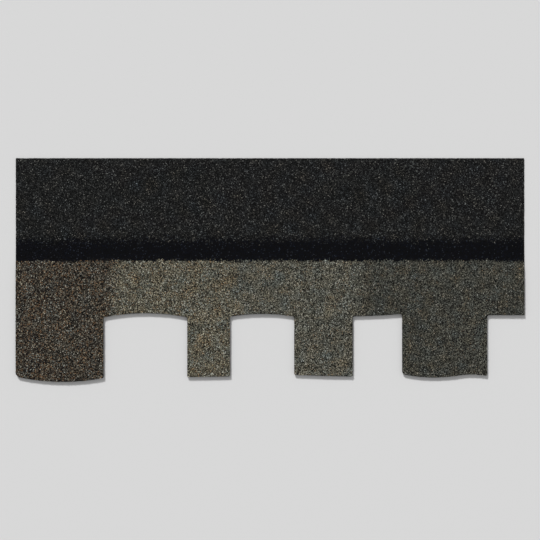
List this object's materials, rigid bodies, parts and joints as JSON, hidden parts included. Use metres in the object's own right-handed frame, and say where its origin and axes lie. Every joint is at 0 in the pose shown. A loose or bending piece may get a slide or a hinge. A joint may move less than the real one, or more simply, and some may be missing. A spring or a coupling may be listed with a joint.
{
  "type": "laminated asphalt shingle",
  "caption": "Laminated shake-look asphalt roof shingle with uneven die-cut tabs and cut-outs, lying flat, weather face up; laps the course below and sheds water.",
  "frame": {"origin": "on the floor, under the middle of the shingle's outline", "axes": "+X along the shingle's length, to the right as seen from above with the butts nearest; +Y up the slope, from the butts to the head; +Z out of the weather face"},
  "size_m": [1.038, 0.457, 0.0066],
  "materials": {
    "granule_surfaced_asphalt": "matte",
    "filled_asphalt": "matte",
    "sealant": "gloss",
    "clear_film": "satin"
  },
  "bodies": {
    "root": {"face_sheet": "granule_surfaced_asphalt", "backing_strip": "filled_asphalt", "seal_dashes_tab_1": "sealant", "seal_dashes_tab_2": "sealant", "seal_dashes_tab_3": "sealant", "seal_dashes_tab_4": "sealant", "release_film": "clear_film"}
  },
  "joints": []
}
